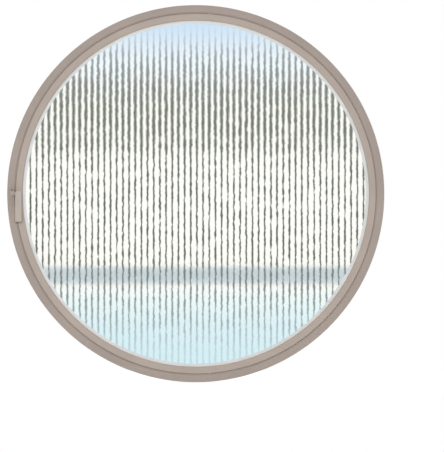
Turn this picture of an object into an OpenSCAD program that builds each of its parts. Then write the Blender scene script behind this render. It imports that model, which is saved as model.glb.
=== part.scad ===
// Round centre-pivot window in powder-coated aluminium, with reeded double glazing.
// The sash turns about the upright Z axis. The room side, with the handle, faces -Y.
// The origin is the centre of the round opening at half the frame's depth.
// Sections are drawn as (radius, height towards the room) and turned about the Y axis.

/* [Outer frame] */
// Outside diameter of the window
frame_d = 1200; // [900:10:1600]
// Depth of the frame from its room face to its back face
frame_depth = 70; // [64:1:100]
// Width of the frame's face
frame_face = 23; // [23:0.5:40]
// Wall of the hollow frame section
frame_wall = 2.5; // [1.5:0.1:4]
// Rounding of the frame's outer edge on the room side
frame_round = 14; // [4:0.5:15]
// Rounding of the frame's inner edge on the room side
frame_edge = 2; // [0.5:0.1:3]
// Reach of the nib that narrows the seam
nib_reach = 2.3; // [1:0.1:2.3]
// Depth of that nib
nib_depth = 8; // [4:0.5:10]
// How far the nib lies behind the frame's room face
nib_set = 2; // [2:0.5:6]

/* [Sash] */
// Seam between the frame and the sash
seam = 3.5; // [3:0.1:6]
// Width of the sash's face
sash_face = 22.5; // [20:0.5:40]
// How far the sash stands proud of the frame on the room side
sash_proud = 3; // [0:0.5:6]
// Depth of the sash's face flange
sash_flange = 14; // [13:0.5:20]
// Thickness of the sash's web round the glass
sash_web = 9.5; // [8:0.5:12]
// Wall of the hollow sash section
sash_wall = 2.2; // [1.5:0.1:2.5]
// Rounding of the sash's outer edge on the room side
sash_edge = 3; // [1:0.1:4]
// Rounding of the sash's inner edge on the room side
sash_lip = 4; // [1:0.1:5]

/* [Glass unit] */
// Distance from one reed to the next
reed_pitch = 19.6; // [12:0.1:30]
// Depth of a reed
reed_depth = 2; // [1:0.1:3]
// Offset of the middle valley from the centre line
reed_offset = 3.8; // [0:0.1:9]
// Thickness of the reeded pane over its reeds
reeded_t = 6; // [5:0.5:8]
// Thickness of the plain pane
clear_t = 5; // [4:0.5:6]
// Space between the panes
cavity = 12; // [8:0.5:16]
// Width of the spacer bar between the panes
spacer_w = 6; // [5:0.5:8]
// Width of the edge sealant outside the spacer bar
sealant_w = 3.5; // [2:0.5:6]
// Gap between the edge of the glass and the web
glass_gap = 3; // [2.6:0.1:6]
// Angle of the setting blocks from the foot of the glass
block_angle = 18; // [10:1:40]
// Arc that one setting block covers
block_arc = 8; // [4:1:15]

/* [Glazing] */
// Thickness of the seal between the flange and the reeded pane
front_seal_t = 2; // [1:0.1:4]
// Reach of the sealant line over the glass
fillet_w = 10; // [4:0.5:14]
// Height of the sealant line up the flange
fillet_h = 3; // [2:0.5:8]
// Thickness of the seal behind the plain pane
rear_seal_t = 3; // [2:0.1:5]
// Thickness of the glazing bead's walls
bead_t = 2.5; // [1.5:0.1:3]
// Depth of the glazing bead
bead_depth = 15; // [10:0.5:16]

/* [Weather beads] */
// Thickness of the frame's stop plate
stop_t = 3; // [2.5:0.1:5]
// How far the stop plate laps the back of the frame
stop_lap = 16; // [15:0.5:18]
// How far the stop plate reaches in from the frame's bore
stop_reach = 16; // [14:0.5:18]
// Thickness of the seals on the stop plate and the cover bead
weather_t = 3; // [2:0.1:5]
// Width of those seals
weather_w = 7; // [4:0.5:9]
// Thickness of the cover bead's walls
cover_t = 2.5; // [2:0.1:4]
// How far the cover bead laps the back of the frame
cover_lap = 13; // [11:0.5:18]
// How far the cover bead's leg reaches along the sash's web
cover_leg = 12; // [10:0.5:16]
// Distance of the stop plate's ends from the pivot axis
stop_end = 40; // [38:1:60]
// Distance of the cover bead's ends from the pivot axis
cover_end = 46; // [44:1:70]
// Screws along each weather bead
bead_screws = 5; // [3:1:9]
// Thread diameter of those screws
bead_screw_d = 4; // [3:0.5:4]
// Length of those screws
bead_screw_l = 9; // [8:0.5:14]

/* [Pivots] */
// Diameter of the pivot pins
pin_d = 12; // [8:0.5:14]
// Diameter of a pivot pin's head
pin_head_d = 20; // [16:0.5:24]
// Thickness of a pivot pin's head
pin_head_t = 2.2; // [1.5:0.1:2.4]
// Wall of the bearing bushes
bush_wall = 2; // [1:0.1:3]
// Wall of the pivot sockets
socket_wall = 4.5; // [3:0.5:6]
// Closed end of the pivot sockets
socket_end = 3; // [2:0.5:4]
// Diameter of the pivot sockets' flanges
socket_flange_d = 42; // [40:0.5:46]
// Thickness of those flanges
socket_flange_t = 2; // [1.6:0.1:2.2]
// Outer diameter of the pivot washers
washer_d = 26; // [20:0.5:28]
// Depth of the flat seats cut for the pivots
seat_cut = 0.3; // [0.3:0.05:0.6]
// Lift that the sash has between its pivots
lift_play = 0.3; // [0.1:0.05:0.5]
// Thread diameter of the socket screws
socket_screw_d = 3; // [2.5:0.1:3]
// Length of the socket screws
socket_screw_l = 8; // [6:0.5:12]

/* [Handle] */
// Width of the lever
lever_w = 22; // [16:0.5:26]
// Length of the lever below its hub
lever_l = 90; // [60:1:130]
// Thickness of the lever
lever_t = 10; // [6:0.5:14]
// Rounding of the lever's lower corners
lever_corner = 4; // [1:0.5:7]
// How far the hub sits outwards from the middle of the sash's face
hub_out = 1.5; // [0:0.1:1.5]
// Diameter of the hub
hub_d = 20; // [14:0.5:22]
// Stand-off between the tongue and the lever
hub_neck = 4.5; // [3:0.5:10]
// Width of the tongue
tongue_w = 12; // [8:0.5:14]
// Thickness of the tongue
tongue_t = 5; // [3:0.5:7]
// How far the tongue's tip laps the frame
tongue_lap = 10; // [6:0.5:10.5]
// Width of the handle's base
base_w = 16; // [14:0.5:16]
// Height of the handle's base
base_h = 50; // [44:1:70]
// Thickness of the handle's base
base_t = 5; // [3:0.5:8]
// Distance of the base's screws from the spindle and from the base's foot
base_margin = 8; // [7:0.5:10]
// Thread diameter of the base and keeper screws
handle_screw_d = 3; // [2.5:0.1:3]
// Length of the base and keeper screws
handle_screw_l = 8; // [7:0.5:8]
// Diameter of the spindle
spindle_d = 10; // [8:0.5:10]
// How deep the spindle sits in the lever
spindle_in = 5; // [3:0.5:5]
// Width of the spindle's clip
clip_w = 2.6; // [2:0.1:2.8]
// How deep the clip bites into the spindle
clip_bite = 0.9; // [0.5:0.1:1.5]
// Thickness of the spindle's clip
clip_t = 1.2; // [0.8:0.1:1.5]

/* [Keeper] */
// Width of the keeper
keeper_w = 12; // [11:0.5:12.5]
// Height of the keeper
keeper_h = 32; // [28:1:40]
// Gap between the frame's bore and the keeper
keeper_inset = 1.5; // [1:0.1:2]
// Thickness of the keeper's base
keeper_base = 2.5; // [2:0.1:4]
// Thickness of the keeper's outer wall
keeper_wall = 1.6; // [1:0.1:1.8]
// Thickness of the keeper's bridge over the tongue
keeper_bridge = 3; // [2:0.5:5]
// Rounding of the keeper's corners
keeper_corner = 2; // [0.5:0.5:3]

/* [Fits] */
// Width of a screw's hexagon socket for each millimetre of thread
hex_share = 0.9; // [0.6:0.05:1]
// Depth of that socket for each millimetre of thread
hex_deep = 0.35; // [0.2:0.05:0.5]
// Radial clearance of the turning pins and the spindle
running = 0.05; // [0.02:0.01:0.1]
// Clearance between pieces that sit in one another
slip = 0.05; // [0.02:0.01:0.1]
// Clearance between soft or passing pieces
clear = 0.3; // [0.2:0.05:0.5]

/* [Hidden] */
$fn = 96;

// Colours
coat = "#b0a39a";
handle_coat = "#b9aea5";
steel = "#b9bcc0";
rubber = "#2b2b2c";
sealant = "#dcdcd8";
glass = "#cfe2ea";
plastic = "#e8e4d8";

// Radii
frame_r = frame_d / 2;
bore_r = frame_r - frame_face;
sash_r = bore_r - seam;
sight_r = sash_r - sash_face;
web_r = sash_r - sash_web;
glass_r = web_r - glass_gap;
spacer_r = glass_r - sealant_w;

// Heights towards the room
frame_front = frame_depth / 2;
frame_back = -frame_front;
nib_front = frame_front - nib_set;
sash_front = frame_front + sash_proud;
flange_back = sash_front - sash_flange;
crest = flange_back - front_seal_t;
reeded_back = crest - reeded_t;
clear_front = reeded_back - cavity;
clear_back = clear_front - clear_t;
bead_front = clear_back - rear_seal_t;
bead_back = bead_front - bead_depth;
sash_back = frame_back + weather_t + clear;
cover_front = frame_back - clear - weather_t;
cover_back = cover_front - cover_t;
cover_leg_front = sash_back + cover_leg;

// Pivots, measured up from the centre to the top one
frame_seat = bore_r + seat_cut;
sash_seat = sash_r - seat_cut;
socket_face = frame_seat - socket_flange_t;
socket_top = frame_r - frame_wall - clear;
bush_top = socket_top - socket_end;
pin_seat = web_r + seat_cut;
pin_r = pin_d / 2;
pin_tip = bush_top - clear;
bush_r = pin_r + bush_wall;
socket_r = bush_r + socket_wall;
pivot_gap = socket_face - sash_seat;
socket_screw_at = (socket_r + socket_flange_d / 2) / 2;

// Handle and keeper, on the left of the window
hub_x = -((sight_r + sash_r) / 2 + hub_out);
base_front = sash_front + base_t;
base_foot = base_w / 2 - base_h;
tongue_back = base_front + clear;
tongue_front = tongue_back + tongue_t;
lever_back = tongue_front + hub_neck;
lever_front = lever_back + lever_t;
tongue_tip = -(bore_r + tongue_lap);
wall_back = sash_front - sash_wall;
clip_front = wall_back - clear;
spindle_r = spindle_d / 2;
base_screws_z = [-(spindle_r + base_margin), base_foot + base_margin];
clip_groove_r = spindle_r - clip_bite;
spindle_back = clip_front - 2 * clip_t;
keeper_right = -(bore_r + keeper_inset);
keeper_left = keeper_right - keeper_w;
keeper_front = frame_front + keeper_base;
bridge_back = tongue_front + clear;
keeper_stop = tongue_w / 2 + clear;
keeper_screw_at = (keeper_stop + keeper_h / 2) / 2;
bridge_foot = -(tongue_w / 2 + clear);

// A full ring from a section of (radius, height towards the room)
module ring() rotate([90, 0, 0]) rotate_extrude() children();

// Part of a ring, from one angle in the front view to another, counted from +X towards +Z
module ring_part(from, to) rotate([90, 0, 0]) rotate([0, 0, from]) rotate_extrude(angle = to - from) children();

// An outline in the front view, as thick as two heights towards the room
module plate(back, front) rotate([90, 0, 0]) translate([0, 0, back]) linear_extrude(front - back) children();

// A rectangle of a section, between two radii and two heights
module band(r0, r1, h0, h1) translate([r0, h0]) square([r1 - r0, h1 - h0]);

// A quarter disc towards +X and +Y of its corner
module quarter(r) intersection() {
  circle(r);
  square(2 * r);
}

// A section between two radii and two heights, with its two room-side corners rounded
module soft_band(r0, r1, h0, h1, in_round, out_round) {
  polygon([
    [r0, h0], [r1, h0], [r1, h1 - out_round], [r1 - out_round, h1 - out_round],
    [r1 - out_round, h1], [r0 + in_round, h1], [r0 + in_round, h1 - in_round], [r0, h1 - in_round]
  ]);
  translate([r1 - out_round, h1 - out_round]) quarter(out_round);
  translate([r0 + in_round, h1 - in_round]) mirror([1, 0]) quarter(in_round);
}

// A rectangle with round corners, in the front view
module soft_square(x0, x1, z0, z1, r) {
  translate([x0 + r, z0]) square([x1 - x0 - 2 * r, z1 - z0]);
  translate([x0, z0 + r]) square([x1 - x0, z1 - z0 - 2 * r]);
  for (x = [x0 + r, x1 - r], z = [z0 + r, z1 - r]) translate([x, z]) circle(r);
}

// An upright strip with round ends, in the front view
module round_strip(z0, z1, w) {
  translate([-w / 2, z0 + w / 2]) square([w, z1 - z0 - w]);
  for (z = [z0 + w / 2, z1 - w / 2]) translate([0, z]) circle(w / 2);
}

// Moves a piece of the top pivot down to the bottom one
module at_bottom() mirror([0, 0, 1]) children();

// A round piece on the pivot axis, between two levels
module round_between(z0, z1, r) translate([0, 0, z0]) cylinder(h = z1 - z0, r = r);

// A countersunk screw along Z with its head's face at the origin and its tip below
module screw(d, length) difference() {
  union() {
    translate([0, 0, -d / 2]) cylinder(h = d / 2, r1 = d / 2, r2 = d);
    translate([0, 0, -length]) cylinder(h = length - d / 2, r = d / 2);
  }
  translate([0, 0, -d * hex_deep]) cylinder(h = d, r = d * hex_share / 2, $fn = 6);
}

// The hole that such a screw sits in
module screw_hole(d, length) {
  translate([0, 0, -d / 2]) cylinder(h = d / 2, r1 = d / 2 + slip, r2 = d + slip);
  cylinder(h = d, r = d + slip);
  translate([0, 0, -length - slip]) cylinder(h = length, r = d / 2 + slip);
}

// Angles of the screws along a half ring that is centred on one angle
function bead_angles(centre, half) =
  [for (i = [0 : bead_screws - 1]) centre + half * (2 * (i + 0.5) / bead_screws - 1)];

// Half the arc of a weather bead that ends at a distance from the pivot axis
function half_arc(end, inner_r) = 90 - asin(end / inner_r);

stop_inner = bore_r - stop_reach;
cover_inner = web_r - cover_t;
stop_half = half_arc(stop_end, stop_inner);
cover_half = half_arc(cover_end, cover_inner);
stop_screw_r = bore_r + stop_lap / 2;

// The stop plate's tails end short of the cover bead's seal, which swings past them
tail_end = cover_end - weather_t;
tail_from = acos(tail_end / (bore_r + stop_lap));

cover_screw_h = (cover_leg_front + sash_back) / 2;

// Places of the fasteners, each with its head's face at the origin and its tip below

module at_stop_screws() for (a = bead_angles(180, stop_half))
  rotate([0, -a, 0]) translate([stop_screw_r, stop_t - frame_back, 0]) rotate([-90, 0, 0]) children();

module at_cover_screws() for (a = bead_angles(0, cover_half))
  rotate([0, -a, 0]) translate([cover_inner, -cover_screw_h, 0]) rotate([0, -90, 0]) children();

module at_socket_screws() for (side = [-1, 1])
  translate([0, side * socket_screw_at, socket_face]) rotate([180, 0, 0]) children();

module at_base_screws() for (z = base_screws_z)
  translate([hub_x, -base_front, z]) rotate([90, 0, 0]) children();

module at_keeper_screws() {
  middle = (keeper_left + keeper_right) / 2;
  translate([middle, -keeper_front, -keeper_screw_at]) rotate([90, 0, 0]) children();
  translate([middle, -keeper_front, keeper_screw_at]) rotate([90, 0, 0]) children();
}

// Fixed frame

module outer_frame() color(coat) difference() {
  ring() {
    difference() {
      soft_band(bore_r, frame_r, frame_back, frame_front, frame_edge, frame_round);
      soft_band(
        bore_r + frame_wall, frame_r - frame_wall, frame_back + frame_wall, frame_front - frame_wall,
        frame_edge / 2, frame_round - frame_wall
      );
    }
    band(bore_r - nib_reach, bore_r + frame_wall / 2, nib_front - nib_depth, nib_front);
  }
  for (end = [0, 1]) mirror([0, 0, end]) {
    round_between(sash_seat, frame_seat, socket_flange_d / 2 + clear);
    round_between(sash_seat, frame_r - frame_wall, socket_r + slip);
    at_socket_screws() screw_hole(socket_screw_d, socket_screw_l);
  }
  at_stop_screws() screw_hole(bead_screw_d, bead_screw_l);
  at_keeper_screws() screw_hole(handle_screw_d, handle_screw_l);
}

module frame_stop_bead() color(coat) difference() {
  ring_part(tail_from, 360 - tail_from)
    band(stop_inner, bore_r + stop_lap, frame_back - stop_t, frame_back);
  for (end = [0, 1]) mirror([0, 0, end]) ring_part(0, 180 - stop_half)
    band(stop_inner - stop_t, sash_r + clear, frame_back - 2 * stop_t, frame_back + stop_t);
  at_stop_screws() screw_hole(bead_screw_d, bead_screw_l);
}

module frame_stop_seal() color(rubber) ring_part(180 - stop_half, 180 + stop_half) {
  middle = (sash_r + web_r) / 2;
  band(middle - weather_w / 2, middle + weather_w / 2, frame_back, frame_back + weather_t);
}

module frame_stop_screws() color(steel) at_stop_screws() screw(bead_screw_d, bead_screw_l);

module pivot_socket() difference() {
  union() {
    round_between(socket_face, frame_seat, socket_flange_d / 2);
    round_between(socket_face, socket_top, socket_r);
  }
  round_between(sash_seat, bush_top, bush_r + slip);
  at_socket_screws() screw_hole(socket_screw_d, socket_screw_l);
}

module top_pivot_socket() color(steel) pivot_socket();
module bottom_pivot_socket() color(steel) at_bottom() pivot_socket();

module pivot_bush() difference() {
  round_between(socket_face, bush_top, bush_r);
  round_between(sash_seat, frame_r, pin_r + running);
}

module top_pivot_bush() color(plastic) pivot_bush();
module bottom_pivot_bush() color(plastic) at_bottom() pivot_bush();

module pivot_socket_screws() color(steel) for (end = [0, 1]) mirror([0, 0, end])
  at_socket_screws() screw(socket_screw_d, socket_screw_l);

module pivot_washer(z0, z1) difference() {
  round_between(z0, z1, washer_d / 2);
  round_between(0, frame_r, pin_r + clear);
}

module bottom_thrust_washer() color(plastic) at_bottom() pivot_washer(sash_seat + running, socket_face);

module keeper() color(handle_coat) difference() {
  union() {
    plate(frame_front, keeper_front)
      soft_square(keeper_left, keeper_right, -keeper_h / 2, keeper_h / 2, keeper_corner);
    plate(frame_front, bridge_back + keeper_bridge)
      soft_square(keeper_left, keeper_right, bridge_foot, keeper_h / 2, keeper_corner);
  }
  plate(keeper_front, bridge_back)
    translate([keeper_left + keeper_wall, -keeper_h])
    square([keeper_w, keeper_h + keeper_stop]);
  at_keeper_screws() screw_hole(handle_screw_d, handle_screw_l);
  plate(keeper_front, bridge_back + 2 * keeper_bridge)
    translate([(keeper_left + keeper_right) / 2, keeper_screw_at]) circle(handle_screw_d + slip);
}

module keeper_screws() color(steel) at_keeper_screws() screw(handle_screw_d, handle_screw_l);

// Turning sash

module sash_ring() color(coat) difference() {
  ring() difference() {
    union() {
      soft_band(sight_r, sash_r, flange_back, sash_front, sash_lip, sash_edge);
      band(web_r, sash_r, sash_back, flange_back);
    }
    soft_band(
      sight_r + sash_wall, sash_r - sash_wall, flange_back + sash_wall, sash_front - sash_wall,
      max(sash_lip - sash_wall, sash_wall / 4), max(sash_edge - sash_wall, sash_wall / 4)
    );
    band(web_r + sash_wall, sash_r - sash_wall, sash_back + sash_wall, flange_back + 2 * sash_wall);
  }
  for (end = [0, 1]) mirror([0, 0, end]) {
    round_between(sash_seat, frame_r, washer_d / 2 + clear);
    round_between(sight_r, pin_seat, pin_head_d / 2 + clear);
    round_between(sight_r, frame_r, pin_r + slip);
  }
  at_cover_screws() screw_hole(bead_screw_d, bead_screw_l);
  at_base_screws() screw_hole(handle_screw_d, handle_screw_l);
  plate(flange_back + sash_wall, sash_front + base_t) translate([hub_x, 0]) circle(spindle_r + clear);
}

module sash_cover_bead() color(coat) difference() {
  ring_part(-cover_half, cover_half) {
    band(cover_inner, web_r - slip, cover_back, cover_leg_front);
    band(cover_inner, bore_r + cover_lap, cover_back, cover_front);
  }
  at_cover_screws() screw_hole(bead_screw_d, bead_screw_l);
}

module sash_cover_seal() color(rubber) ring_part(-cover_half, cover_half)
  band(bore_r + cover_lap - weather_w - clear, bore_r + cover_lap - clear, cover_front, cover_front + weather_t);

module cover_bead_screws() color(steel) at_cover_screws() screw(bead_screw_d, bead_screw_l);

// One reed of the pane in plan, from its left valley
module reed(left) {
  reed_r = (pow(reed_pitch / 2, 2) + pow(reed_depth, 2)) / (2 * reed_depth);
  intersection() {
    translate([left + reed_pitch / 2, reed_r - crest]) circle(reed_r);
    translate([left, -crest - reed_depth]) square([reed_pitch, reed_depth + reeded_t]);
  }
}

module reeded_pane() color(glass, 0.5) {
  reeds = ceil((glass_r + reed_offset) / reed_pitch);
  intersection() {
    linear_extrude(2 * glass_r, center = true)
      for (i = [-reeds : reeds]) reed(reed_offset + i * reed_pitch);
    plate(reeded_back - clear, crest + clear) circle(glass_r);
  }
}

module clear_pane() color(glass, 0.5) plate(clear_back, clear_front) circle(glass_r);

module spacer_bar() color(steel) ring() band(spacer_r - spacer_w, spacer_r, clear_front, reeded_back);

module edge_sealant() color(rubber) ring() band(spacer_r + slip, glass_r, clear_front, reeded_back);

module front_glazing_seal() color(sealant) ring() polygon([
  [sight_r - fillet_w, crest + slip], [glass_r, crest + slip], [glass_r, flange_back],
  [sight_r - slip, flange_back], [sight_r - slip, flange_back + fillet_h]
]);

module rear_glazing_seal() color(rubber) ring() band(sight_r, glass_r, bead_front, clear_back);

module glazing_bead() color(coat) difference() {
  ring() {
    band(sight_r, web_r - slip, bead_front - bead_t, bead_front);
    band(web_r - bead_t, web_r - slip, bead_back, bead_front);
  }
  for (end = [0, 1]) mirror([0, 0, end])
    round_between(pin_seat - pin_head_t - clear, frame_r, pin_head_d / 2 + clear);
  // A deep bead is cut short on the right, where the cover bead's leg sits
  ring_part(-90, 90) band(web_r - bead_t - clear, web_r, cover_back, cover_leg_front + clear);
}

module setting_blocks() color(plastic) for (side = [-1, 1]) {
  middle = 270 + side * block_angle;
  ring_part(middle - block_arc / 2, middle + block_arc / 2)
    band(glass_r + slip, web_r - slip, clear_back, crest - reed_depth);
}

module pivot_pin() {
  round_between(pin_seat - pin_head_t, pin_seat, pin_head_d / 2);
  round_between(pin_seat - pin_head_t, pin_tip, pin_r);
}

module top_pivot_pin() color(steel) pivot_pin();
module bottom_pivot_pin() color(steel) at_bottom() pivot_pin();

module top_friction_washer() color(plastic) pivot_washer(sash_seat, socket_face - lift_play);

module handle_base() color(handle_coat) difference() {
  plate(sash_front, base_front)
    translate([hub_x, 0]) round_strip(base_foot, base_w / 2, base_w);
  plate(flange_back, lever_back) translate([hub_x, 0]) circle(spindle_r + running);
  at_base_screws() screw_hole(handle_screw_d, handle_screw_l);
}

module handle_base_screws() color(steel) at_base_screws() screw(handle_screw_d, handle_screw_l);

// Handle

module handle_lever() color(handle_coat) difference() {
  union() {
    plate(tongue_back, lever_back) translate([hub_x, 0]) circle(hub_d / 2);
    plate(tongue_back, tongue_front) {
      translate([tongue_tip + tongue_w / 2, 0]) circle(tongue_w / 2);
      translate([tongue_tip + tongue_w / 2, -tongue_w / 2])
        square([hub_x - tongue_tip - tongue_w / 2, tongue_w]);
    }
    plate(lever_back, lever_front) translate([hub_x, 0]) {
      circle(lever_w / 2);
      translate([-lever_w / 2, -lever_l / 2]) square([lever_w, lever_l / 2]);
      soft_square(-lever_w / 2, lever_w / 2, -lever_l, -lever_l / 2 + 2 * lever_corner, lever_corner);
    }
  }
  plate(flange_back, lever_back + spindle_in) translate([hub_x, 0]) circle(spindle_r + slip);
}

module handle_spindle() color(steel) difference() {
  plate(spindle_back, lever_back + spindle_in) translate([hub_x, 0]) circle(spindle_r);
  plate(clip_front - clip_t - slip, clip_front + slip) translate([hub_x, 0]) difference() {
    circle(spindle_d);
    circle(clip_groove_r);
  }
}

module spindle_clip() color(steel) plate(clip_front - clip_t, clip_front) translate([hub_x, 0])
  difference() {
    circle(clip_groove_r + clip_w);
    circle(clip_groove_r + slip);
    translate([0, -clip_groove_r / 2]) square([spindle_d, clip_groove_r]);
  }

outer_frame();
frame_stop_bead();
frame_stop_seal();
frame_stop_screws();
top_pivot_socket();
bottom_pivot_socket();
top_pivot_bush();
bottom_pivot_bush();
pivot_socket_screws();
bottom_thrust_washer();
keeper();
keeper_screws();
sash_ring();
sash_cover_bead();
sash_cover_seal();
cover_bead_screws();
reeded_pane();
clear_pane();
spacer_bar();
edge_sealant();
front_glazing_seal();
rear_glazing_seal();
glazing_bead();
setting_blocks();
top_pivot_pin();
bottom_pivot_pin();
top_friction_washer();
handle_base();
handle_base_screws();
handle_lever();
handle_spindle();
spindle_clip();
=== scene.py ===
"""The looks of a round centre-pivot window: taupe coated metal, reeded glass and a small lever handle.

Everything is in metres. The room side faces -Y, X runs to the right and Z up, and the window's centre is
the origin. Ring sections are modelled in the XY plane, as radius along X and depth along Y, and spun
about the Y axis.
"""
import bmesh
import bpy
import math
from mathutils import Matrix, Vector


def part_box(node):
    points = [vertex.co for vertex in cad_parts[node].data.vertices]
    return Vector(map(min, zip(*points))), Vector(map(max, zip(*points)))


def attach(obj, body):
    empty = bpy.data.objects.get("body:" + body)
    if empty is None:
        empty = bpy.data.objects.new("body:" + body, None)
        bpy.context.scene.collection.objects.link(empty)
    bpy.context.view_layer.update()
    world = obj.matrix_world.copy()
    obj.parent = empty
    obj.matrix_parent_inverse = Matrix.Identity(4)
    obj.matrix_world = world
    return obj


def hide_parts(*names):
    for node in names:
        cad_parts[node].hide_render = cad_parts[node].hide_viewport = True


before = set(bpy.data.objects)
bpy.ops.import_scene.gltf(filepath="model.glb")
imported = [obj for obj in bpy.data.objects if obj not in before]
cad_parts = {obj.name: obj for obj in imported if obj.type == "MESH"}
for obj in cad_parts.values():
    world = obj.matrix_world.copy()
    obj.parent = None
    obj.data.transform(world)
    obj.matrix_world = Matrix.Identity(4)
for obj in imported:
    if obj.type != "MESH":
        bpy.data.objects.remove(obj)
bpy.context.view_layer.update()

# Picture frame and the window's place in it, in pixels
PICTURE_HEIGHT = 452
PICTURE_MIDDLE = (222.0, 226.0)
WINDOW_CENTRE = (195.8, 193.7)
WINDOW_RADIUS = 188.3

# Sizes taken from the solids
FRAME_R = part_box("outer_frame")[1].x
FRAME_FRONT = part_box("outer_frame")[0].y
FRAME_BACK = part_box("outer_frame")[1].y
SASH_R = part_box("sash_ring")[1].x
SASH_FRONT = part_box("sash_ring")[0].y
SASH_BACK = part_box("sash_ring")[1].y
GLASS_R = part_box("clear_pane")[1].x
REED_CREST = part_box("reeded_pane")[0].y
REED_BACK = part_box("reeded_pane")[1].y
SEAL_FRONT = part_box("front_glazing_seal")[0].y
SEAL_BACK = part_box("front_glazing_seal")[1].y
LEVER_LOW, LEVER_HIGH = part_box("handle_lever")
BASE_LOW, BASE_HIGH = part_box("handle_base")
SCREWS_LOW, SCREWS_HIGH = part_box("handle_base_screws")
SOCKET_LOW, SOCKET_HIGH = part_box("top_pivot_socket")
WASHER_LOW, WASHER_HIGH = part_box("top_friction_washer")
PIN_LOW, PIN_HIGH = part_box("top_pivot_pin")
SPINDLE_LOW, SPINDLE_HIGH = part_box("handle_spindle")

# Sizes inside the solids, as the part's source has them
FRAME_FACE = 0.023
FRAME_ROUND = 0.014
FRAME_EDGE = 0.002
NIB_DEPTH = 0.008
NIB_SET = 0.002
SASH_FACE = 0.0225
SASH_WEB = 0.0095
SASH_FLANGE = 0.014
SASH_EDGE = 0.003
SASH_LIP = 0.004
FILLET_WIDTH = 0.010
REED_PITCH = 0.0196
REED_DEPTH = 0.002
REED_OFFSET = 0.0038
LEVER_THICK = 0.010
LEVER_WIDTH = 0.022
LEVER_CORNER = 0.004
HUB_R = 0.010
TONGUE_WIDTH = 0.012
TONGUE_THICK = 0.005
SOCKET_FLANGE = 0.002
SOCKET_R = 0.0125
PIN_R = 0.006
PIN_HEAD = 0.0022

# Sizes of the render alone: a nib that closes the seam 0.6 mm more than the solid's, and soft edges
NIB_REACH = 0.0029
BACK_EDGE = 0.0006
FILLET_SAG = 0.0008
LEVER_SOFT = 0.0036
SMALL_SOFT = 0.0008

# Sizes worked out from those above
HUB_X = (BASE_LOW.x + BASE_HIGH.x) / 2
SPINDLE_R = (SPINDLE_HIGH.x - SPINDLE_LOW.x) / 2
BORE_R = FRAME_R - FRAME_FACE
SIGHT_R = SASH_R - SASH_FACE
WEB_R = SASH_R - SASH_WEB
FLANGE_BACK = SASH_FRONT + SASH_FLANGE
REED_R = (REED_PITCH ** 2 / 4 + REED_DEPTH ** 2) / (2 * REED_DEPTH)
LEVER_FRONT = LEVER_LOW.y
LEVER_BACK = LEVER_FRONT + LEVER_THICK
TONGUE_BACK = LEVER_HIGH.y

# Clearances of the cuts, steps that keep faces apart, and tolerances for finding and merging points
FIT = 0.00005
CLEAR = 0.0003
JOIN_GAP = 0.00002
TONGUE_STEP = 0.0001
NEAR = 1e-5
MERGE_GAP = 1e-6

# Fineness of the meshes
RING_STEPS = 288
BORE_STEPS = 64
HUB_STEPS = 48
REED_STEPS = 20
FILLET_STEPS = 8
FLOOR_STEPS = 96
SMOOTH_ANGLE = math.radians(35)

FULL_TURN = 2 * math.pi
UPRIGHT = (math.pi / 2, 0, 0)


# Modelling tools

def start_piece(name):
    """Names the primitive that was just added and opens it for shaping."""
    piece = bpy.context.object
    piece.name = name
    piece.data.name = name
    bpy.ops.object.transform_apply(location=True, rotation=True, scale=True)
    bpy.ops.object.mode_set(mode="EDIT")
    return piece


def add_plane(name, low, high, rotation):
    """Starts a piece from a rectangle between two corners, which share either their depth or their level."""
    middle = (Vector(low) + Vector(high)) / 2
    span = Vector(high) - Vector(low)
    bpy.ops.object.select_all(action="DESELECT")
    bpy.ops.mesh.primitive_plane_add(size=1, location=middle, rotation=rotation)
    bpy.context.object.scale = (span.x, span.y + span.z, 1)
    return start_piece(name)


def section_plane(name, low, high):
    """Starts a piece from a rectangle in the XY plane, where ring sections are drawn."""
    return add_plane(name, (*low, 0), (*high, 0), (0, 0, 0))


def upright_plane(name, low, high):
    """Starts a piece from a rectangle that stands in the XZ plane and faces the room."""
    return add_plane(name, low, high, UPRIGHT)


def pick(kind, test):
    """Selects the vertices, edges or faces of the open piece whose middle passes a test."""
    bpy.ops.mesh.select_mode(type=kind)
    bpy.ops.mesh.select_all(action="DESELECT")
    shape = bmesh.from_edit_mesh(bpy.context.object.data)
    if kind == "VERT":
        for corner in shape.verts:
            corner.select_set(test(corner.co))
    elif kind == "EDGE":
        for edge in shape.edges:
            edge.select_set(test((edge.verts[0].co + edge.verts[1].co) / 2))
    else:
        for face in shape.faces:
            face.select_set(test(face.calc_center_median()))
    shape.select_flush_mode()
    bmesh.update_edit_mesh(bpy.context.object.data)


def near(a, b):
    """Whether two lengths are the same but for rounding."""
    return abs(a - b) < NEAR


def round_corner(x, y, radius, segments):
    """Rounds the corner of a flat section at one place."""
    pick("VERT", lambda p: near(p.x, x) and near(p.y, y))
    bpy.ops.mesh.bevel(offset=radius, segments=segments, affect="VERTICES")


def round_upright(x, z, radius, segments):
    """Rounds the corner of an upright flat outline at one place."""
    pick("VERT", lambda p: near(p.x, x) and near(p.z, z))
    bpy.ops.mesh.bevel(offset=radius, segments=segments, affect="VERTICES")


def join_round_end():
    """Makes one point of the two that meet in the middle of a round end."""
    bpy.ops.mesh.select_all(action="SELECT")
    bpy.ops.mesh.remove_doubles(threshold=3 * JOIN_GAP)


def soften_rim(y, radius, segments):
    """Rounds the rim of the face of the open piece that lies at one depth."""
    pick("FACE", lambda p: near(p.y, y))
    bpy.ops.mesh.region_to_loop()
    bpy.ops.mesh.bevel(offset=radius, segments=segments, affect="EDGES")


def thicken(depth):
    """Draws the open sheet out towards the back, into a closed slab."""
    bpy.ops.mesh.select_all(action="SELECT")
    bpy.ops.mesh.extrude_region_move(TRANSFORM_OT_translate={"value": (0, depth, 0)})
    bpy.ops.mesh.select_all(action="SELECT")
    bpy.ops.mesh.normals_make_consistent(inside=False)


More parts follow.
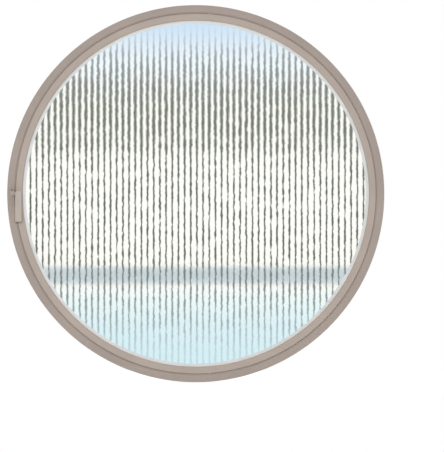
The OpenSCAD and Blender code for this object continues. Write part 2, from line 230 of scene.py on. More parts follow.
def extrude_edge(test, move):
    """Draws the edges that pass a test out into new faces."""
    pick("EDGE", test)
    bpy.ops.mesh.extrude_edges_move(TRANSFORM_OT_translate={"value": move})


def join_faces():
    """Makes one face of all the faces of a flat section."""
    bpy.ops.mesh.select_all(action="SELECT")
    bpy.ops.mesh.dissolve_faces()


def spin_section():
    """Turns the open flat section about the Y axis into a closed ring."""
    bpy.ops.mesh.select_all(action="SELECT")
    bpy.ops.mesh.delete(type="ONLY_FACE")
    bpy.ops.mesh.select_all(action="SELECT")
    bpy.ops.mesh.spin(steps=RING_STEPS, angle=FULL_TURN, center=(0, 0, 0), axis=(0, 1, 0))
    bpy.ops.mesh.select_all(action="SELECT")
    bpy.ops.mesh.remove_doubles(threshold=MERGE_GAP)
    bpy.ops.mesh.normals_make_consistent(inside=False)


def close_piece():
    """Leaves edit mode."""
    bpy.ops.object.mode_set(mode="OBJECT")


def combine(piece, other, operation):
    """Fuses another closed piece with this one, takes it away, or keeps only what both share."""
    bpy.ops.object.select_all(action="DESELECT")
    bpy.context.view_layer.objects.active = piece
    piece.select_set(True)
    shape = piece.modifiers.new("shape", "BOOLEAN")
    shape.operation = operation
    shape.solver = "EXACT"
    shape.object = other
    bpy.ops.object.modifier_apply(modifier=shape.name)
    bpy.data.objects.remove(other)


def take_away(piece):
    """Cuts the primitive that was just added out of a piece."""
    cutter = bpy.context.object
    bpy.ops.object.transform_apply(location=True, rotation=True, scale=True)
    combine(piece, cutter, "DIFFERENCE")


def bore(piece, start, end, radius):
    """Bores a straight round hole from one point to another."""
    run = Vector(end) - Vector(start)
    bpy.ops.object.select_all(action="DESELECT")
    bpy.ops.mesh.primitive_cylinder_add(
        vertices=BORE_STEPS, radius=radius, depth=run.length, location=Vector(start) + run / 2,
        rotation=run.to_track_quat("Z", "Y").to_euler(),
    )
    take_away(piece)


def bore_pivots(piece, inner, outer, radius):
    """Bores the same hole at the top and the bottom pivot, between two distances from the centre."""
    for side in (-1, 1):
        bore(piece, (0, 0, side * inner), (0, 0, side * outer), radius)


def sink_screw_hole(piece, place, head_r, back):
    """Cuts the countersunk hole of a screw, from its flush head at one place to a depth behind."""
    shank_r = head_r / 2 + FIT
    depth = head_r / 2 + FIT
    bpy.ops.object.select_all(action="DESELECT")
    bpy.ops.mesh.primitive_cone_add(
        vertices=BORE_STEPS, radius1=head_r + 2 * FIT, radius2=shank_r, depth=depth,
        location=(place[0], place[1] - FIT + depth / 2, place[2]), rotation=(-math.pi / 2, 0, 0),
    )
    take_away(piece)
    bore(piece, place, (place[0], back, place[2]), shank_r)


def finish_piece(piece, body, node, material):
    """Smooths a piece, gives it its finish, ties it to its body, and hides the solid it stands for."""
    bpy.ops.object.shade_smooth_by_angle(angle=SMOOTH_ANGLE)
    piece.data.materials.clear()
    piece.data.materials.append(material)
    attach(piece, body)
    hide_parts(node)


# Shader tools

WHITE = (1.0, 1.0, 1.0)


def paint(colour):
    """A colour with full opacity, as a socket takes it."""
    return (*colour, 1.0)


def shade(colour, factor):
    """A colour made darker or lighter."""
    return tuple(part * factor for part in colour)


class Signal:
    """A number in a shader: sums written with it add the Math nodes that work them out."""

    def __init__(self, sheet, socket):
        self.sheet = sheet
        self.socket = socket

    def math(self, operation, *operands):
        return self.sheet.math(operation, *operands)

    def __add__(self, other):
        return self.math("ADD", self, other)

    def __radd__(self, other):
        return self.math("ADD", other, self)

    def __sub__(self, other):
        return self.math("SUBTRACT", self, other)

    def __rsub__(self, other):
        return self.math("SUBTRACT", other, self)

    def __mul__(self, other):
        return self.math("MULTIPLY", self, other)

    def __rmul__(self, other):
        return self.math("MULTIPLY", other, self)

    def __truediv__(self, other):
        return self.math("DIVIDE", self, other)


class Sheet:
    """The node tree of a material or of the world, with one method that adds any node."""

    def __init__(self, owner):
        owner.use_nodes = True
        self.owner = owner
        self.tree = owner.node_tree
        self.tree.nodes.clear()

    def add(self, kind, settings=None, sockets=None):
        """Adds a node, sets its settings first, and then fills or links its sockets."""
        node = self.tree.nodes.new(kind)
        for name, value in (settings or {}).items():
            if name == "stops":
                self.set_stops(node.color_ramp, value)
            else:
                setattr(node, name, value)
        for name, value in (sockets or {}).items():
            self.feed(node.inputs[name], value)
        return node

    def set_stops(self, ramp, stops):
        """Gives a ramp its stops, as pairs of place and colour."""
        first, *middle, last = stops
        for element, (place, colour) in zip(ramp.elements, (first, last)):
            element.position = place
            element.color = paint(colour)
        for place, colour in middle:
            ramp.elements.new(place).color = paint(colour)

    def feed(self, socket, value):
        """Links a signal or a node's output to a socket, or sets a plain value there."""
        if isinstance(value, Signal):
            self.tree.links.new(value.socket, socket)
        elif isinstance(value, bpy.types.NodeSocket):
            self.tree.links.new(value, socket)
        else:
            socket.default_value = value

    def math(self, operation, *operands):
        """Adds one Math node."""
        node = self.add("ShaderNodeMath", {"operation": operation}, dict(enumerate(operands)))
        return Signal(self, node.outputs["Value"])

    def signal(self, node, output):
        """One output of a node as a number."""
        return Signal(self, node.outputs[output])

    def smooth_step(self, value, start, end):
        """0 below the start, 1 above the end, and a soft rise between them."""
        node = self.add(
            "ShaderNodeMapRange", {"interpolation_type": "SMOOTHSTEP"},
            {"Value": value, "From Min": start, "From Max": end},
        )
        return self.signal(node, "Result")

    def mix(self, factor, first, second):
        """A blend of two colours."""
        node = self.add(
            "ShaderNodeMix", {"data_type": "RGBA"},
            {"Factor": factor, "A": first, "B": second},
        )
        return node.outputs["Result"]

    def vary(self, factor, colour, darkest, lightest):
        """A colour that changes between a darker and a lighter tone of itself."""
        return self.mix(factor, paint(shade(colour, darkest)), paint(shade(colour, lightest)))

    def object_place(self, scale=(1, 1, 1)):
        """The place on the piece, stretched by a scale along each axis."""
        place = self.add("ShaderNodeTexCoord")
        stretch = self.add(
            "ShaderNodeMapping", None, {"Vector": place.outputs["Object"], "Scale": scale}
        )
        return stretch.outputs["Vector"]

    def noise(self, place, scale, detail):
        """Cloudy noise from 0 to 1."""
        node = self.add("ShaderNodeTexNoise", None, {"Vector": place, "Scale": scale, "Detail": detail})
        return self.signal(node, "Fac")

    def bump(self, height, strength, distance):
        """A normal that follows a height over the surface."""
        node = self.add(
            "ShaderNodeBump", None, {"Strength": strength, "Distance": distance, "Height": height}
        )
        return node.outputs["Normal"]

    def seen_directly(self, rays):
        """1 for rays straight from the camera and for mirrored ones, and 0 for all others."""
        return self.math(
            "MAXIMUM", self.signal(rays, "Is Camera Ray"), self.signal(rays, "Is Glossy Ray")
        )

    def surface(self, sockets):
        """Adds the surface with its sockets filled, and gives the finished material back."""
        principled = self.add("ShaderNodeBsdfPrincipled", None, sockets)
        self.add("ShaderNodeOutputMaterial", None, {"Surface": principled.outputs["BSDF"]})
        return self.owner


def new_sheet(name):
    """The empty node tree of a new material."""
    return Sheet(bpy.data.materials.new(name))


# Finishes

TAUPE = (0.43, 0.362, 0.318)
# Painted shade: the frame's taupe is the sash's taupe darkened to about 0.86, so that the frame's band looks
# darker than the sash
TAUPE_PAINTED_SHADE = (0.368, 0.312, 0.276)
TAUPE_HANDLE = (0.455, 0.395, 0.347)
# Painted shade: the keeper's taupe is the sash's taupe darkened to about 0.9, for the shaded look of the
# keeper
TAUPE_KEEPER_PAINTED_SHADE = (0.39, 0.335, 0.30)
BRIGHT_STEEL = (0.6, 0.6, 0.6)
BLACK_STEEL = (0.055, 0.053, 0.052)
MILL_ALUMINIUM = (0.72, 0.72, 0.73)
IVORY_PLASTIC = (0.78, 0.75, 0.66)
BLACK_RUBBER = (0.022, 0.022, 0.024)
PALE_GREY = (0.70, 0.71, 0.70)
REED_TINT = (0.97, 0.99, 0.985)
CLEAR_TINT = (0.96, 0.99, 0.985)
CLEAR_PALE = (0.98, 1.0, 0.995)
GLASS_IOR = 1.5
CLOUD_SHARE = 0.6
GRAIN_SHARE = 0.4


def coat_finish(name, colour, roughness):
    """Powder coat: a fine orange-peel skin, faint cloudiness and slightly uneven gloss."""
    sheet = new_sheet(name)
    place = sheet.object_place()
    cloud = sheet.noise(place, scale=9.0, detail=3.0)
    grain = sheet.noise(place, scale=900.0, detail=2.0)
    peel = sheet.noise(place, scale=420.0, detail=1.0)
    tone = sheet.smooth_step(CLOUD_SHARE * cloud + GRAIN_SHARE * grain, start=0.3, end=0.7)
    return sheet.surface({
        "Base Color": sheet.vary(tone, colour, darkest=0.95, lightest=1.05),
        "Roughness": roughness + 0.1 * cloud,
        "Normal": sheet.bump(peel, strength=0.35, distance=0.00006),
        "Specular IOR Level": 0.4,
    })


def metal_finish(name, colour, roughness):
    """Bare metal with fine turning marks and soft stains."""
    sheet = new_sheet(name)
    stain = sheet.noise(sheet.object_place(), scale=60.0, detail=3.0)
    marks = sheet.noise(sheet.object_place((1, 6, 1)), scale=700.0, detail=2.0)
    return sheet.surface({
        "Base Color": sheet.vary(stain, colour, darkest=0.85, lightest=1.1),
        "Metallic": 1.0,
        "Roughness": roughness + 0.15 * marks,
        "Normal": sheet.bump(marks, strength=0.3, distance=0.00003),
    })


def moulded_finish(name, colour, roughness, grain_size, depth):
    """Moulded plastic, rubber or cured sealant with a fine matt skin."""
    sheet = new_sheet(name)
    place = sheet.object_place()
    cloud = sheet.noise(place, scale=25.0, detail=2.0)
    skin = sheet.noise(place, scale=1.0 / grain_size, detail=2.0)
    return sheet.surface({
        "Base Color": sheet.vary(cloud, colour, darkest=0.92, lightest=1.06),
        "Roughness": roughness + 0.1 * skin,
        "Normal": sheet.bump(skin, strength=0.4, distance=depth),
    })


# Unevenness of the reeds: changes in a metre of length, how strong they are, and how far reeds differ
REED_STREAKS = 38.0
REED_SWELL = 1.1
REED_LEAN = 0.28
REED_SHIFT = 7.31
LEAN_SCALE = 2.3

# Direction of the plain back, and half of each part of a direction
BACK_NORMAL = (0.0, 1.0, 0.0)
HALF = (0.5, 0.5, 0.5)


def reed_slope(sheet, along, swell, lean):
    """The sideways slope of the reeds' surface: a round reed, swollen and leaning a little."""
    across = sheet.math("FRACT", along) - 0.5
    lift = across * (REED_PITCH / REED_R)
    slope = lift / sheet.math("SQRT", 1.0 - lift * lift)
    return slope + across * (swell - 0.5) * REED_SWELL + (lean - 0.5) * REED_LEAN


def reeded_glass_finish():
    """Clear rolled glass. Each reed swells and leans along its length, as rolled reeds do."""
    sheet = new_sheet("reeded_glass")
    place = sheet.add("ShaderNodeTexCoord")
    axes = sheet.add("ShaderNodeSeparateXYZ", None, {"Vector": place.outputs["Object"]})
    along = (sheet.signal(axes, "X") - REED_OFFSET) / REED_PITCH
    streak_place = sheet.add("ShaderNodeCombineXYZ", None, {
        "X": sheet.math("FLOOR", along) * REED_SHIFT, "Z": sheet.signal(axes, "Z") * REED_STREAKS,
    })
    swell = sheet.noise(streak_place.outputs["Vector"], scale=1.0, detail=3.0)
    lean = sheet.noise(streak_place.outputs["Vector"], scale=LEAN_SCALE, detail=3.0)
    facing = sheet.add("ShaderNodeCombineXYZ", None, {
        "X": reed_slope(sheet, along, swell, lean), "Y": -1.0,
    })
    level = sheet.add("ShaderNodeVectorMath", {"operation": "NORMALIZE"}, {0: facing.outputs["Vector"]})
    front = sheet.math("LESS_THAN", sheet.signal(axes, "Y"), (REED_CREST + REED_BACK) / 2)
    side = sheet.add("ShaderNodeMix", {"data_type": "VECTOR"}, {
        "Factor": front, "A": BACK_NORMAL, "B": level.outputs["Vector"],
    })
    # A Normal Map node reads a direction as a colour from 0 to 1
    coded = sheet.add("ShaderNodeVectorMath", {"operation": "MULTIPLY_ADD"}, {
        0: side.outputs["Result"], 1: HALF, 2: HALF,
    })
    normal = sheet.add("ShaderNodeNormalMap", {"space": "OBJECT"}, {"Color": coded.outputs["Vector"]})
    return sheet.surface({
        "Base Color": sheet.mix(swell, paint(REED_TINT), paint(WHITE)),
        "Roughness": 0.01 + 0.02 * lean,
        "IOR": GLASS_IOR,
        "Transmission Weight": 1.0,
        "Normal": normal.outputs["Normal"],
    })


def clear_glass_finish():
    """Plain float glass with a trace of green and the faintest ripple."""
    sheet = new_sheet("clear_glass")
    ripple = sheet.noise(sheet.object_place((1, 1, 0.4)), scale=6.0, detail=1.0)
    return sheet.surface({
        "Base Color": sheet.mix(ripple, paint(CLEAR_TINT), paint(CLEAR_PALE)),
        "Roughness": 0.01 * ripple,
        "IOR": GLASS_IOR,
        "Transmission Weight": 1.0,
        "Normal": sheet.bump(ripple, strength=0.2, distance=0.0002),
    })


# The frame's coat carries that painted shade: it is a darker copy of the sash's coat
frame_coat = coat_finish("frame_coat", TAUPE_PAINTED_SHADE, roughness=0.62)
sash_coat = coat_finish("sash_coat", TAUPE, roughness=0.62)
handle_coat = coat_finish("handle_coat", TAUPE_HANDLE, roughness=0.32)
# The keeper's coat carries that painted shade: it is a darker copy of the taupe coat
keeper_coat_painted_shade = coat_finish("keeper_coat_painted_shade", TAUPE_KEEPER_PAINTED_SHADE, roughness=0.5)
fastener_steel = metal_finish("fastener_steel", BRIGHT_STEEL, roughness=0.25)
pivot_steel = metal_finish("pivot_steel", BLACK_STEEL, roughness=0.4)
spacer_metal = metal_finish("spacer_metal", MILL_ALUMINIUM, roughness=0.35)
bearing_plastic = moulded_finish(
    "bearing_plastic", IVORY_PLASTIC, roughness=0.5, grain_size=0.0008, depth=0.00003
)
weather_rubber = moulded_finish(
    "weather_rubber", BLACK_RUBBER, roughness=0.6, grain_size=0.0006, depth=0.00005
)
pale_sealant = moulded_finish(
    "pale_sealant", PALE_GREY, roughness=0.45, grain_size=0.004, depth=0.0002
)
reeded_glass = reeded_glass_finish()
clear_glass = clear_glass_finish()


# Rings

def model_outer_frame():
    """The outer frame: a big rounding outside, a small one at the bore, and a nib in the seam."""
    nib_front = FRAME_FRONT + NIB_SET
    nib_back = nib_front + NIB_DEPTH
    nib_r = BORE_R - NIB_REACH
    piece = section_plane("outer_frame_ring", (BORE_R, nib_front), (FRAME_R, nib_back))
    extrude_edge(lambda p: near(p.y, nib_front), (0, FRAME_FRONT - nib_front, 0))
    extrude_edge(lambda p: near(p.y, nib_back), (0, FRAME_BACK - nib_back, 0))
    extrude_edge(
        lambda p: near(p.x, BORE_R) and nib_front < p.y < nib_back, (-NIB_REACH, 0, 0)
    )
    join_faces()
    round_corner(FRAME_R, FRAME_FRONT, FRAME_ROUND, segments=14)
    round_corner(BORE_R, FRAME_FRONT, FRAME_EDGE - JOIN_GAP, segments=5)
    round_corner(nib_r, nib_front, BACK_EDGE, segments=3)
    round_corner(nib_r, nib_back, NIB_REACH - JOIN_GAP, segments=4)
    round_corner(FRAME_R, FRAME_BACK, BACK_EDGE, segments=2)
    round_corner(BORE_R, FRAME_BACK, BACK_EDGE, segments=2)
    spin_section()
    close_piece()
    bore_pivots(piece, SASH_R, SOCKET_LOW.z + SOCKET_FLANGE, SOCKET_HIGH.x + CLEAR)
    bore_pivots(piece, SASH_R, SOCKET_HIGH.z + CLEAR, SOCKET_R + FIT)
    finish_piece(piece, "frame", "outer_frame", frame_coat)


def model_sash_ring():
    """The sash: a web round the glass and a face flange over its edge, as one L-shaped section."""
    piece = section_plane("sash_ring_turned", (WEB_R, FLANGE_BACK), (SASH_R, SASH_BACK))
    extrude_edge(lambda p: near(p.y, FLANGE_BACK), (0, -SASH_FLANGE, 0))
    extrude_edge(
        lambda p: near(p.x, WEB_R) and SASH_FRONT < p.y < FLANGE_BACK, (SIGHT_R - WEB_R, 0, 0)
    )
    join_faces()
    round_corner(SASH_R, SASH_FRONT, SASH_EDGE, segments=6)
    round_corner(SIGHT_R, SASH_FRONT, SASH_LIP, segments=7)
    round_corner(SIGHT_R, FLANGE_BACK, BACK_EDGE, segments=2)
    round_corner(SASH_R, SASH_BACK, BACK_EDGE, segments=2)
    round_corner(WEB_R, SASH_BACK, BACK_EDGE, segments=2)
    spin_section()
    close_piece()
    bore_pivots(piece, WASHER_LOW.z, FRAME_R, WASHER_HIGH.x + CLEAR)
    bore_pivots(piece, SIGHT_R, PIN_LOW.z + PIN_HEAD, PIN_HIGH.x + CLEAR)
    bore_pivots(piece, SIGHT_R, FRAME_R, PIN_R + FIT)
    bore(piece, (HUB_X, SASH_FRONT - FIT, 0), (HUB_X, SPINDLE_HIGH.y, 0), SPINDLE_R + CLEAR)
    finish_piece(piece, "sash", "sash_ring", sash_coat)


def model_sealant_line():
    """The sealant line: a bed under the flange, tooled hollow where it runs out onto the glass."""
    foot_r = SIGHT_R - FILLET_WIDTH
    piece = section_plane("sealant_line", (SIGHT_R, FLANGE_BACK), (GLASS_R, SEAL_BACK))
    extrude_edge(lambda p: near(p.x, SIGHT_R), (foot_r - SIGHT_R, 0, 0))
    pick("VERT", lambda p: near(p.x, foot_r) and near(p.y, FLANGE_BACK))
    bpy.ops.transform.translate(value=(SIGHT_R - foot_r, SEAL_FRONT - FLANGE_BACK, 0))
    pick("EDGE", lambda p: foot_r < p.x < SIGHT_R and p.y < SEAL_BACK - FILLET_SAG)
    bpy.ops.mesh.subdivide(number_cuts=FILLET_STEPS - 1)
    join_faces()
    for step in range(1, FILLET_STEPS):
        sink_fillet(foot_r, step / FILLET_STEPS)
    spin_section()
    close_piece()
    finish_piece(piece, "sash", "front_glazing_seal", pale_sealant)


def sink_fillet(foot_r, share):
    """Sinks one point of the sealant's slope, most at half its width."""
    slope = Vector((SIGHT_R - foot_r, SEAL_FRONT - SEAL_BACK, 0))
    place = Vector((foot_r, SEAL_BACK, 0)) + slope * share
    inward = Vector((-slope.y, slope.x, 0)).normalized()
    pick("VERT", lambda p: near(p.x, place.x) and near(p.y, place.y))
    bpy.ops.transform.translate(value=inward * FILLET_SAG * 4 * share * (1 - share))


# Glass

def model_reeded_pane():
    """The reeded pane: one reed spun as an arc, copied across, drawn to a slab and cut round."""
    half_angle = math.asin(REED_PITCH / 2 / REED_R)
    reeds_left = math.ceil((GLASS_R + REED_OFFSET) / REED_PITCH)
    first_valley = REED_OFFSET - reeds_left * REED_PITCH
    valley = Vector((first_valley, REED_CREST + REED_DEPTH, -GLASS_R))
    around = Vector((REED_PITCH, REED_PITCH, 0))
    piece = add_plane("reeded_pane_rolled", valley - around, valley + around, (0, 0, 0))
    bpy.ops.mesh.select_mode(type="VERT")
    bpy.ops.mesh.select_all(action="SELECT")
    bpy.ops.mesh.merge(type="CENTER")
    bpy.ops.mesh.spin(
        steps=REED_STEPS, angle=-2 * half_angle,
        center=(first_valley + REED_PITCH / 2, REED_CREST + REED_R, 0), axis=(0, 0, 1),
    )
    close_piece()
    copy_reeds(piece, 2 * reeds_left + 1)
    bpy.ops.object.mode_set(mode="EDIT")
    bpy.ops.mesh.select_all(action="SELECT")
    bpy.ops.mesh.extrude_edges_move(TRANSFORM_OT_translate={"value": (0, 0, 2 * GLASS_R)})
    thicken(REED_BACK - REED_CREST)
    pick("VERT", lambda p: p.y > REED_BACK - NEAR)
    bpy.ops.transform.resize(value=(1, 0, 1), center_override=(0, REED_BACK, 0))
    bpy.ops.mesh.select_all(action="SELECT")
    bpy.ops.mesh.normals_make_consistent(inside=False)
    close_piece()
    cut_round(piece)
    finish_piece(piece, "sash", "reeded_pane", reeded_glass)
    piece.visible_shadow = False


def copy_reeds(piece, count):
    """Copies one reed across the pane, each joined to the next."""
    copies = piece.modifiers.new("reeds", "ARRAY")
    copies.use_relative_offset = False
    copies.use_constant_offset = True
    copies.constant_offset_displace = (REED_PITCH, 0, 0)
    copies.count = count
    copies.use_merge_vertices = True
    bpy.ops.object.modifier_apply(modifier=copies.name)


def cut_round(piece):
    """Cuts a slab of glass to the round of the pane."""
    bpy.ops.object.select_all(action="DESELECT")
    bpy.ops.mesh.primitive_cylinder_add(
        vertices=RING_STEPS, radius=GLASS_R, depth=2 * GLASS_R, rotation=UPRIGHT
    )
    blank = bpy.context.object
    bpy.ops.object.transform_apply(location=True, rotation=True, scale=True)
    combine(piece, blank, "INTERSECT")


# Handle

def model_lever():
    """The lever, its hub and its tongue, as one casting."""
    left = HUB_X - LEVER_WIDTH / 2
    right = HUB_X + LEVER_WIDTH / 2
    piece = upright_plane(
        "lever_casting", (left, LEVER_FRONT, LEVER_LOW.z), (right, LEVER_FRONT, LEVER_HIGH.z)
    )
    for side in (left, right):
        round_upright(side, LEVER_HIGH.z, LEVER_WIDTH / 2 - JOIN_GAP, segments=14)
        round_upright(side, LEVER_LOW.z, LEVER_CORNER, segments=6)
    join_round_end()
    thicken(LEVER_THICK)
    soften_rim(LEVER_FRONT, LEVER_SOFT, segments=6)
    soften_rim(LEVER_BACK, SMALL_SOFT, segments=3)
    close_piece()
    combine(piece, model_hub(), "UNION")
    combine(piece, model_tongue(), "UNION")
    finish_piece(piece, "handle", "handle_lever", handle_coat)


def model_hub():
    """The round neck between the lever and its base."""
    depth = TONGUE_BACK - LEVER_BACK + LEVER_SOFT
    bpy.ops.object.select_all(action="DESELECT")
    bpy.ops.mesh.primitive_cylinder_add(
        vertices=HUB_STEPS, radius=HUB_R, depth=depth, rotation=UPRIGHT,
        location=(HUB_X, TONGUE_BACK - depth / 2, 0),
    )
    hub = start_piece("lever_hub")
    soften_rim(TONGUE_BACK, SMALL_SOFT / 2, segments=2)
    close_piece()
    return hub


def model_tongue():
    """The tongue that reaches under the keeper's bridge."""
    front = TONGUE_BACK - TONGUE_THICK
    half = TONGUE_WIDTH / 2
    tongue = upright_plane(
        "lever_tongue", (LEVER_LOW.x, front, -half), (HUB_X, front, half)
    )
    for side in (-half, half):
        round_upright(LEVER_LOW.x, side, half - JOIN_GAP, segments=8)
    join_round_end()
    thicken(TONGUE_THICK - TONGUE_STEP)
    soften_rim(front, SMALL_SOFT, segments=3)
    close_piece()
    return tongue


def model_handle_base():
    """The base plate between the sash and the lever, with its spindle hole and screw holes."""
    front = BASE_LOW.y
    back = BASE_HIGH.y
    end_r = (BASE_HIGH.x - BASE_LOW.x) / 2
    piece = upright_plane(
        "handle_base_plate", (BASE_LOW.x, front, BASE_LOW.z), (BASE_HIGH.x, front, BASE_HIGH.z)
    )
    for side in (BASE_LOW.x, BASE_HIGH.x):
        for level in (BASE_LOW.z, BASE_HIGH.z):
            round_upright(side, level, end_r - JOIN_GAP, segments=12)
    join_round_end()
    thicken(back - front)
    soften_rim(front, SMALL_SOFT, segments=3)
    close_piece()
    bore(piece, (HUB_X, front - FIT, 0), (HUB_X, back + FIT, 0), SPINDLE_R + FIT)
    head_r = (SCREWS_HIGH.x - SCREWS_LOW.x) / 2
    for level in (SCREWS_LOW.z + head_r, SCREWS_HIGH.z - head_r):
        sink_screw_hole(piece, (HUB_X, front, level), head_r, back + FIT)
    finish_piece(piece, "sash", "handle_base", handle_coat)


for model in (
    model_outer_frame, model_sash_ring, model_sealant_line, model_reeded_pane, model_lever,
    model_handle_base,
):
    model()


# Finishes of the solids that show as they are

NODE_FINISHES = {
    frame_coat: ["frame_stop_bead"],
    sash_coat: ["sash_cover_bead", "glazing_bead"],
    keeper_coat_painted_shade: ["keeper", "keeper_screws"],
    handle_coat: ["handle_base_screws"],
    fastener_steel: ["frame_stop_screws", "pivot_socket_screws", "cover_bead_screws", "spindle_clip"],
    pivot_steel: [
        "top_pivot_socket", "bottom_pivot_socket", "top_pivot_pin", "bottom_pivot_pin", "handle_spindle",
    ],
    bearing_plastic: [
        "top_pivot_bush", "bottom_pivot_bush", "bottom_thrust_washer", "top_friction_washer",
        "setting_blocks",
    ],
    weather_rubber: ["frame_stop_seal", "sash_cover_seal", "rear_glazing_seal", "edge_sealant"],
    spacer_metal: ["spacer_bar"],
    clear_glass: ["clear_pane"],
}


def finish_solids():
    """Gives each of these solids its finish, and lets light through the plain pane."""
    for material, names in NODE_FINISHES.items():
        for name in names:
            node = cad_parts[name]
            node.data.materials.clear()
            node.data.materials.append(material)
    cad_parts["clear_pane"].visible_shadow = False


finish_solids()


# Camera

CAMERA_DISTANCE = 24.0
SENSOR = 36.0
METRES_PER_PIXEL = FRAME_R / WINDOW_RADIUS


def place_camera():
    """A long lens straight in front, level with the middle of the picture, which is higher than wide."""
    lens = bpy.data.cameras.new("camera")
    lens.sensor_width = SENSOR
    lens.lens = SENSOR * CAMERA_DISTANCE / (PICTURE_HEIGHT * METRES_PER_PIXEL)
    camera = bpy.data.objects.new("camera", lens)
    bpy.context.scene.collection.objects.link(camera)
    right = (PICTURE_MIDDLE[0] - WINDOW_CENTRE[0]) * METRES_PER_PIXEL
    down = (PICTURE_MIDDLE[1] - WINDOW_CENTRE[1]) * METRES_PER_PIXEL
    camera.location = (right, -CAMERA_DISTANCE, -down)
    camera.rotation_euler = UPRIGHT
    bpy.context.scene.camera = camera
    return camera


camera = place_camera()


# Lamps

def add_softbox(name, place, size, power):
    """A square soft light that looks at the window's centre and does not mirror in the glass."""
    light = bpy.data.lights.new(name, "AREA")
    light.size = size
    light.energy = power
    lamp = bpy.data.objects.new(name, light)
    bpy.context.scene.collection.objects.link(lamp)
    lamp.location = place
    lamp.visible_glossy = False
    lamp.visible_transmission = False
    lamp.rotation_euler = (-Vector(place)).to_track_quat("-Z", "Y").to_euler()


add_softbox("front_light", place=(-0.75, -4.9, 0.75), size=2.0, power=172)
add_softbox("side_light", place=(3.4, -0.7, -0.35), size=1.0, power=20)
add_softbox("back_light", place=(0.9, 4.8, 0.9), size=2.0, power=130)


# Surroundings

# Even light of the room, and the share by which the outlook is brightened
ROOM_LIGHT = (0.28, 0.28, 0.28)
OUTLOOK_GAIN = 0.10

# Dark sides of the outlook: their period round the horizon, their soft edge, and how ragged it is
SIDE_PERIOD = math.radians(32.0)
SIDE_START = 0.50
SIDE_END = 0.66
SIDE_SOFT = 0.25
SIDE_COLOUR = (0.035, 0.048, 0.027)
RAGGED_REACH = 1.1
RAGGED_ACROSS = 7.0
RAGGED_UP = 130.0

# Plain pale outlook above and below the part that the camera sees through the window
FAR_COLOUR = (0.91, 0.92, 0.92)
FAR_SIDES = 0.12
FAR_START = 0.54
FAR_END = 1.5


def climb_at(z):
    """How steeply a sight line from the camera climbs when it passes the window at one height."""
    return (z - camera.location.z) / CAMERA_DISTANCE


OUTLOOK_LOW = climb_at(-FRAME_R)
OUTLOOK_HIGH = climb_at(FRAME_R)


def outlook_stops(pairs):
    """Ramp stops from heights on the window and what the outlook has there."""
    return [((climb_at(z) - OUTLOOK_LOW) / (OUTLOOK_HIGH - OUTLOOK_LOW), value) for z, value in pairs]


OUTLOOK_COLOURS = outlook_stops([
    (-0.52, (0.62, 0.79, 0.85)),
    (-0.42, (0.68, 0.82, 0.87)),
    (-0.33, (0.82, 0.89, 0.89)),
    (-0.292, (0.97, 0.94, 0.91)),
    (-0.284, (0.53, 0.59, 0.62)),
    (-0.236, (0.50, 0.57, 0.61)),
    (-0.232, (0.97, 0.93, 0.88)),
    (-0.10, (0.97, 0.93, 0.90)),
    (0.28, (0.96, 0.93, 0.88)),
    (0.42, (0.84, 0.88, 0.92)),
    (0.53, (0.58, 0.71, 0.86)),
])

# Strength of the dark sides, how much they close in, and how ragged they are, as one colour at each height
OUTLOOK_SIDES = outlook_stops([
    (-0.50, (0.22, 0.0, 0.3)),
    (-0.40, (0.62, 0.0, 0.3)),
    (-0.30, (0.82, 0.03, 0.2)),
    (-0.284, (0.76, 0.02, 0.0)),
    (-0.24, (0.76, 0.02, 0.0)),
    (-0.22, (0.93, 0.03, 0.0)),
    (-0.10, (0.95, 0.03, 0.0)),
    (0.10, (0.92, 0.02, 0.1)),
    (0.15, (0.90, 0.05, 0.8)),
    (0.25, (0.88, 0.10, 1.0)),
    (0.34, (0.84, 0.12, 1.0)),
    (0.44, (0.66, 0.05, 0.4)),
    (0.52, (0.06, 0.0, 0.0)),
])


def outlook_colour(sheet):
    """The outlook's colour along a ray: pale, with a colour for each height, and darker to the sides."""
    place = sheet.add("ShaderNodeTexCoord")
    axes = sheet.add("ShaderNodeSeparateXYZ", None, {"Vector": place.outputs["Generated"]})
    east, north, up = (sheet.signal(axes, axis) for axis in "XYZ")
    level = sheet.math("SQRT", east * east + north * north)
    climb = (up / level - OUTLOOK_LOW) / (OUTLOOK_HIGH - OUTLOOK_LOW)
    turn = sheet.math("ARCTAN2", east, sheet.math("ABSOLUTE", north)) / SIDE_PERIOD + 0.5
    aside = sheet.math("ABSOLUTE", sheet.math("FRACT", turn) - 0.5) * 2.0
    colours = sheet.add("ShaderNodeValToRGB", {"stops": OUTLOOK_COLOURS}, {"Fac": climb})
    sides = sheet.add("ShaderNodeValToRGB", {"stops": OUTLOOK_SIDES}, {"Fac": climb})
    parts = sheet.add("ShaderNodeSeparateColor", None, {"Color": sides.outputs["Color"]})
    strength, closing, ragged = (sheet.signal(parts, part) for part in ("Red", "Green", "Blue"))
    tuft_place = sheet.add("ShaderNodeCombineXYZ", None, {
        "X": turn * RAGGED_ACROSS, "Y": climb * RAGGED_UP,
    })
    tufts = sheet.noise(tuft_place.outputs["Vector"], scale=1.0, detail=3.0) - 0.5
    closed = aside + closing + ragged * tufts * RAGGED_REACH
    far = sheet.smooth_step(sheet.math("ABSOLUTE", climb - 0.5), FAR_START, FAR_END)
    dark = sheet.smooth_step(closed, SIDE_START - ragged * SIDE_SOFT, SIDE_END)
    bright = sheet.mix(far, colours.outputs["Color"], paint(FAR_COLOUR))
    return sheet.mix(dark * (strength + far * FAR_SIDES), bright, paint(SIDE_COLOUR))


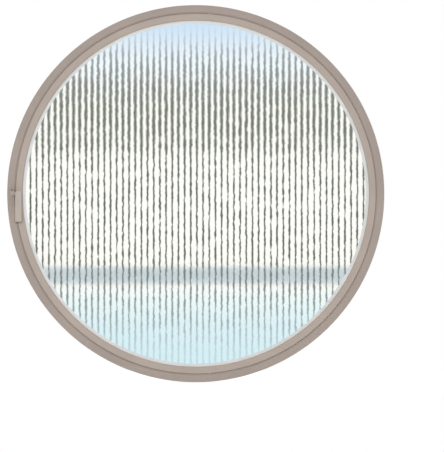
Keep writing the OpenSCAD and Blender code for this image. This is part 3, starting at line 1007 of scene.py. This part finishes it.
def make_world():
    """Soft even light. The camera sees white, and the glass a pale outlook with darker sides."""
    world = bpy.data.worlds.new("studio")
    bpy.context.scene.world = world
    sheet = Sheet(world)
    rays = sheet.add("ShaderNodeLightPath")
    through = sheet.signal(rays, "Is Transmission Ray")
    seen = sheet.math("MAXIMUM", sheet.seen_directly(rays), through)
    shown = sheet.mix(through, paint(WHITE), outlook_colour(sheet))
    background = sheet.add("ShaderNodeBackground", None, {
        "Color": sheet.mix(seen, paint(ROOM_LIGHT), shown),
        "Strength": 1.0 + OUTLOOK_GAIN * through,
    })
    sheet.add("ShaderNodeOutputWorld", None, {"Surface": background.outputs["Background"]})


make_world()


# Floor

FLOOR_RADIUS = 1.9
FLOOR_DROP = 0.0004
FLOOR_DARK = (0.88, 0.88, 0.88)
FLOOR_LIGHT = (0.92, 0.92, 0.92)
FLOOR_GLOW = 1.6
GLOW_SHARE = 0.5


def floor_finish():
    """A pale matt floor that looks white but still takes a shadow."""
    sheet = new_sheet("pale_floor")
    rays = sheet.add("ShaderNodeLightPath")
    speck = sheet.noise(sheet.object_place(), scale=30.0, detail=2.0)
    matt = sheet.add("ShaderNodeBsdfPrincipled", None, {
        "Base Color": sheet.mix(speck, paint(FLOOR_DARK), paint(FLOOR_LIGHT)),
        "Roughness": 0.8,
    })
    glow = sheet.add("ShaderNodeEmission", None, {"Color": paint(WHITE), "Strength": FLOOR_GLOW})
    blend = sheet.add("ShaderNodeMixShader", None, {
        0: sheet.seen_directly(rays) * GLOW_SHARE, 1: matt.outputs["BSDF"], 2: glow.outputs["Emission"],
    })
    sheet.add("ShaderNodeOutputMaterial", None, {"Surface": blend.outputs["Shader"]})
    return sheet.owner


def make_floor():
    """A round pale floor under the window, which keeps its shadow and does not show through the glass."""
    bpy.ops.object.select_all(action="DESELECT")
    bpy.ops.mesh.primitive_circle_add(
        vertices=FLOOR_STEPS, radius=FLOOR_RADIUS, fill_type="NGON",
        location=(0, 0, -FRAME_R - FLOOR_DROP),
    )
    floor = bpy.context.object
    floor.name = "floor"
    floor.visible_transmission = False
    bpy.ops.object.transform_apply(location=True, rotation=True, scale=True)
    floor.data.materials.append(floor_finish())


make_floor()

bpy.context.scene.view_settings.view_transform = "Standard"
